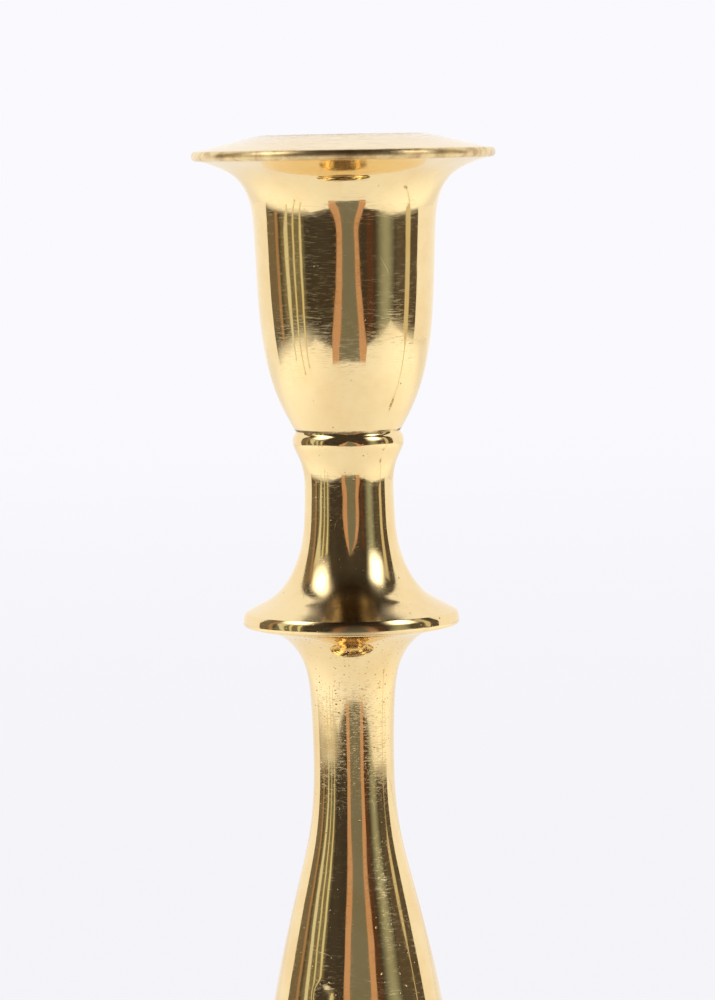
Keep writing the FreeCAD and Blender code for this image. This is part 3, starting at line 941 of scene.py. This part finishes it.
nut_low, nut_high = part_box("stem_nut")
nut_corner = nut_flat / math.cos(math.pi / nut_sides)
bm = bmesh.new()
ring = [bm.verts.new((radius, 0, height)) for radius, height in [
    (tail_hole + nut_chamfer / 2, nut_low.z), (nut_corner - nut_chamfer, nut_low.z),
    (nut_corner, nut_low.z + nut_chamfer / 2), (nut_corner, nut_high.z), (tail_hole, nut_high.z),
    (tail_hole, nut_low.z + nut_chamfer / 2)]]
edges = [bm.edges.new((a, b)) for a, b in zip(ring, ring[1:] + ring[:1])]
bmesh.ops.spin(bm, geom=ring + edges, cent=(0, 0, 0), axis=(0, 0, 1), angle=2 * math.pi, steps=small_turns,
               use_merge=True)
for i in range(nut_sides):
    turn = math.radians(360 / nut_sides * (i + 0.5))
    side = Vector((math.cos(turn), math.sin(turn), 0))
    cut_through = bmesh.ops.bisect_plane(bm, geom=bm.verts[:] + bm.edges[:] + bm.faces[:],
                                         dist=merge_distance, plane_co=side * nut_flat, plane_no=side,
                                         clear_outer=True)
    rim = [item for item in cut_through["geom_cut"] if isinstance(item, bmesh.types.BMEdge)]
    bmesh.ops.edgeloop_fill(bm, edges=rim)
bmesh.ops.remove_doubles(bm, verts=bm.verts, dist=merge_distance)
bmesh.ops.recalc_face_normals(bm, faces=bm.faces)
sharp = sharp_edges(bm, nut_sharp_angle)
bmesh.ops.bevel(bm, geom=sharp, offset=nut_edge, segments=2, profile=0.5, affect="EDGES", material=-1,
                clamp_overlap=True)
nut_mesh = bpy.data.meshes.new("dull_stem_nut")
bm.to_mesh(nut_mesh)
bm.free()
nut_mesh.shade_smooth()
nut_mesh.set_sharp_from_angle(angle=nut_crease_angle)
nut = bpy.data.objects.new("dull_stem_nut", nut_mesh)
bpy.context.collection.objects.link(nut)
nut_mesh.materials.append(dull_brass("nut_brass"))
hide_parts("stem_nut")
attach(nut, "root")

# Ejector plate. A turned brass disc that lies in a recess at the bottom of the socket. The rod under it
# lifts it, and it pushes up the stub of a burnt candle.

plate_chamfer = 0.0004
plate_edge = 0.0001
rod_radius = 0.0016

plate_low, plate_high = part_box("ejector_plate")
plate_radius = plate_high.x
plate = turned("dull_ejector_plate", [(rod_radius, plate_low.z), (plate_radius, plate_low.z),
                                      (plate_radius, plate_high.z - plate_chamfer),
                                      (plate_radius - plate_chamfer, plate_high.z),
                                      (rod_radius, plate_high.z)], edge_round=plate_edge, turns=small_turns)
plate.data.materials.append(dull_brass("plate_brass", pits=0.05))
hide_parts("ejector_plate")
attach(plate, "ejector")

# Ejector rod. A steel wire through the stem, riveted over the plate at the top and let into the button
# at the bottom.

rivet_radius = 0.0027
rivet_height = 0.00028
rivet_crown = 0.0004
rivet_shoulder_out, rivet_shoulder_up = 0.62, 0.72
rod_edge = 0.00008
rod_turns = 32
steel_bright = (0.50, 0.48, 0.45, 1)
steel_dull = (0.23, 0.21, 0.19, 1)
rust = (0.20, 0.075, 0.030, 1)

rod_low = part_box("ejector_rod")[0]
rivet = half_round((rivet_crown, plate_high.z + rivet_height),
                   (rivet_radius * rivet_shoulder_out, plate_high.z + rivet_height * rivet_shoulder_up),
                   (rivet_radius, plate_high.z), steps=6)
rod = turned("steel_ejector_rod", [(0.0, rod_low.z), (0.0, plate_high.z + rivet_height)] + rivet +
             [(rod_radius, plate_high.z), (rod_radius, rod_low.z)], edge_round=rod_edge, wander=0.0,
             turns=rod_turns)
steel, tree, shader = new_metal("rod_steel")
marks = placed(tree, marks_group, Fineness=2400.0, Around=2.0)["Fine"]
stains = placed(tree, tarnish_group, Scale=210.0, Amount=0.46)[0]
rusty = placed(tree, spots_group, Amount=0.25, Cells=700.0, Size=0.3)[0]
colour = blend_colour(tree, rusty, blend_colour(tree, stains, steel_bright, steel_dull), rust)
roughness = blend_value(tree, rusty, scaled(tree, marks, 0.3, 0.7, 0.22, 0.45), 0.8)
surface(tree, shader, colour, roughness, [(marks, 0.000008)])
rod.data.materials.append(steel)
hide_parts("ejector_rod")
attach(rod, "ejector")

# Ejector button. A turned brass disc with a rounded edge under the foot, slightly dished for the
# fingertip that pushes it up.

button_bulge = 0.0014
dish_radius = 0.0058
dish_depth = 0.0005

button_low, button_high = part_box("ejector_button")
button_radius = button_high.x
middle = between(button_low.z, button_high.z, 0.5)
dish = [(0.0, 1.0), (0.35, 0.88), (0.7, 0.5), (1.0, 0.0)]
outline = flowing([(dish_radius * out, button_low.z + dish_depth * deep) for out, deep in dish], steps=5)
outline += half_round((button_radius - button_bulge, button_low.z), (button_radius, middle),
                      (button_radius - button_bulge, button_high.z))
outline += [(rod_radius, button_high.z), (rod_radius, rod_low.z), (0.0, rod_low.z)]
button = turned("dull_ejector_button", outline, edge_round=plate_edge, turns=small_turns)
button.data.materials.append(dull_brass("button_brass", pits=0.06))
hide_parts("ejector_button")
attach(button, "ejector")
